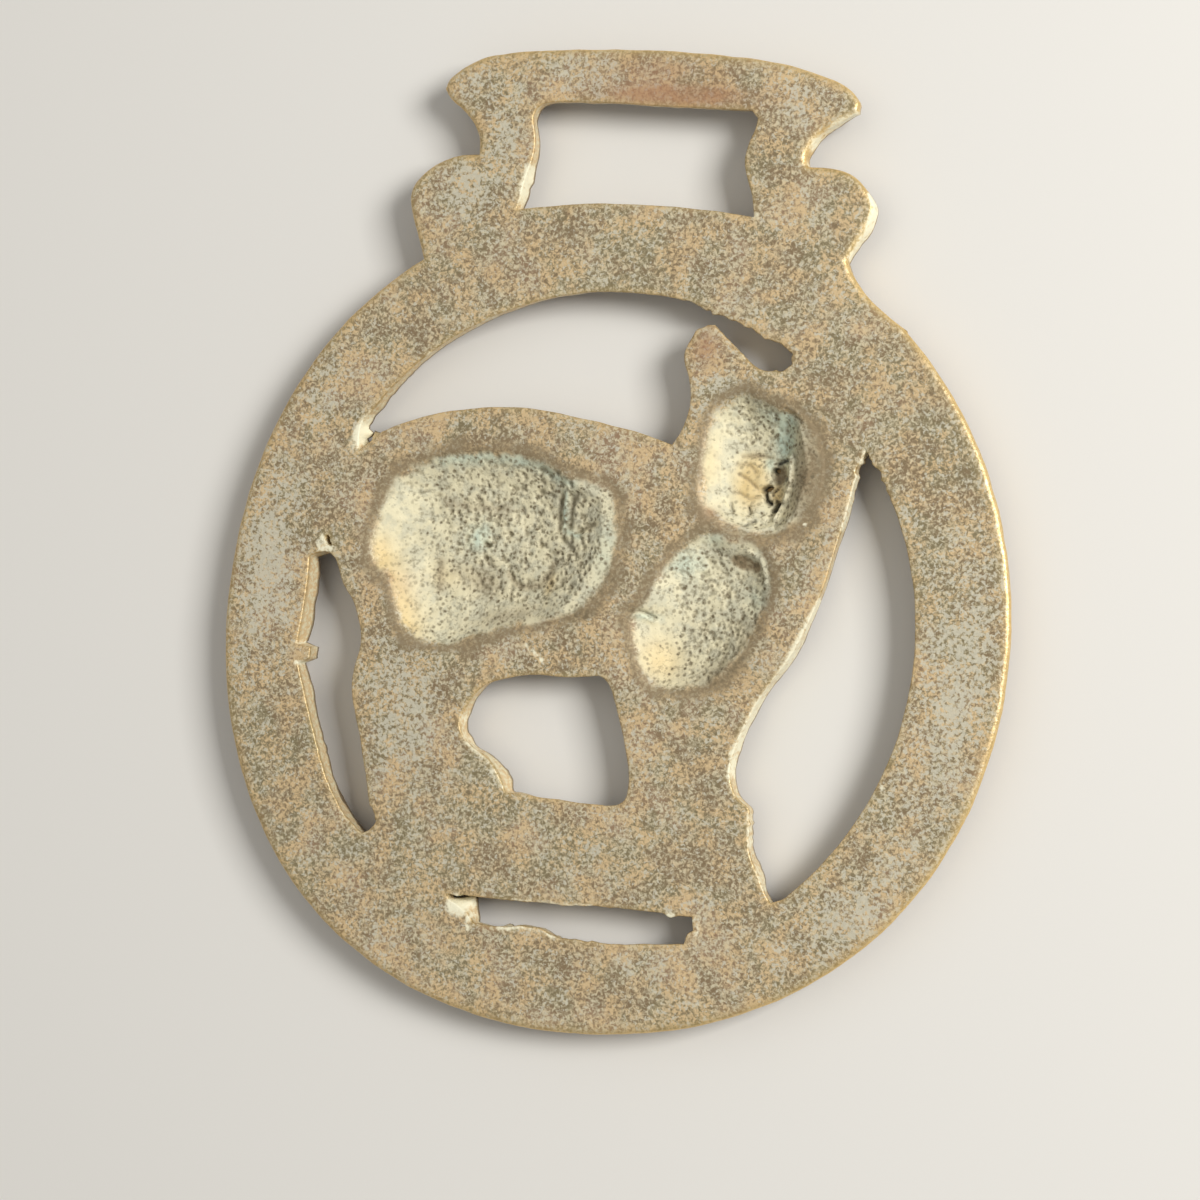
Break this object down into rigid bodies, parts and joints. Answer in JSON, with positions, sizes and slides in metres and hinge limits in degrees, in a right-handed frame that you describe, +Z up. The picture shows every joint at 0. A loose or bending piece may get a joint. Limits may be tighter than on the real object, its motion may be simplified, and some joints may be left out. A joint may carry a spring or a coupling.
{
  "type": "horse brass",
  "caption": "Cast brass harness ornament: a ring around a standing horse with a strap hanger on top, seen from its plain back with cast hollows.",
  "frame": {"origin": "below the middle of the part's box, on the surface that the brass lies on, with the plain back facing up", "axes": "+Z up out of the plain back, +Y from the ring towards the strap hanger, +X to the right seen from the back, the way the horse faces"},
  "size_m": [0.0696, 0.0828, 0.0038],
  "materials": {
    "aged_brass": "old cast brass with a dull tan-brown, finely speckled patina, pale hollows and worn golden edges"
  },
  "bodies": {
    "root": {"horse_brass": "aged_brass"}
  },
  "joints": []
}
